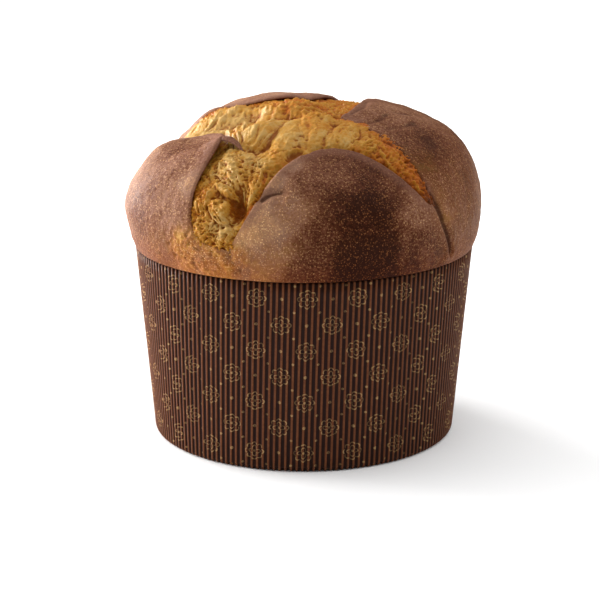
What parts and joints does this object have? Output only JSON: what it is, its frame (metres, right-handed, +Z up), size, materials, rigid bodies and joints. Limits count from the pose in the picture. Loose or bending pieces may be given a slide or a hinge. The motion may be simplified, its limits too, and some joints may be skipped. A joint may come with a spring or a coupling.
{
  "type": "panettone",
  "caption": "Tall domed sweet bread in a fluted brown paper mould, its dark crust burst open into lobes over yellow crumb.",
  "frame": {"origin": "centre of the flat underside of the paper mould", "axes": "+Z up along the axis of the mould; -Y is the front, where the widest opening of the crust lies a little to the left; +X is to the right seen from the front"},
  "size_m": [0.1769, 0.1752, 0.1701],
  "materials": {
    "bread": "matt brown crust, yellow crumb in the openings",
    "paper": "matt brown corrugated paper with a gold print"
  },
  "bodies": {
    "root": {"loaf": "bread", "paper_mould": "paper"}
  },
  "joints": []
}
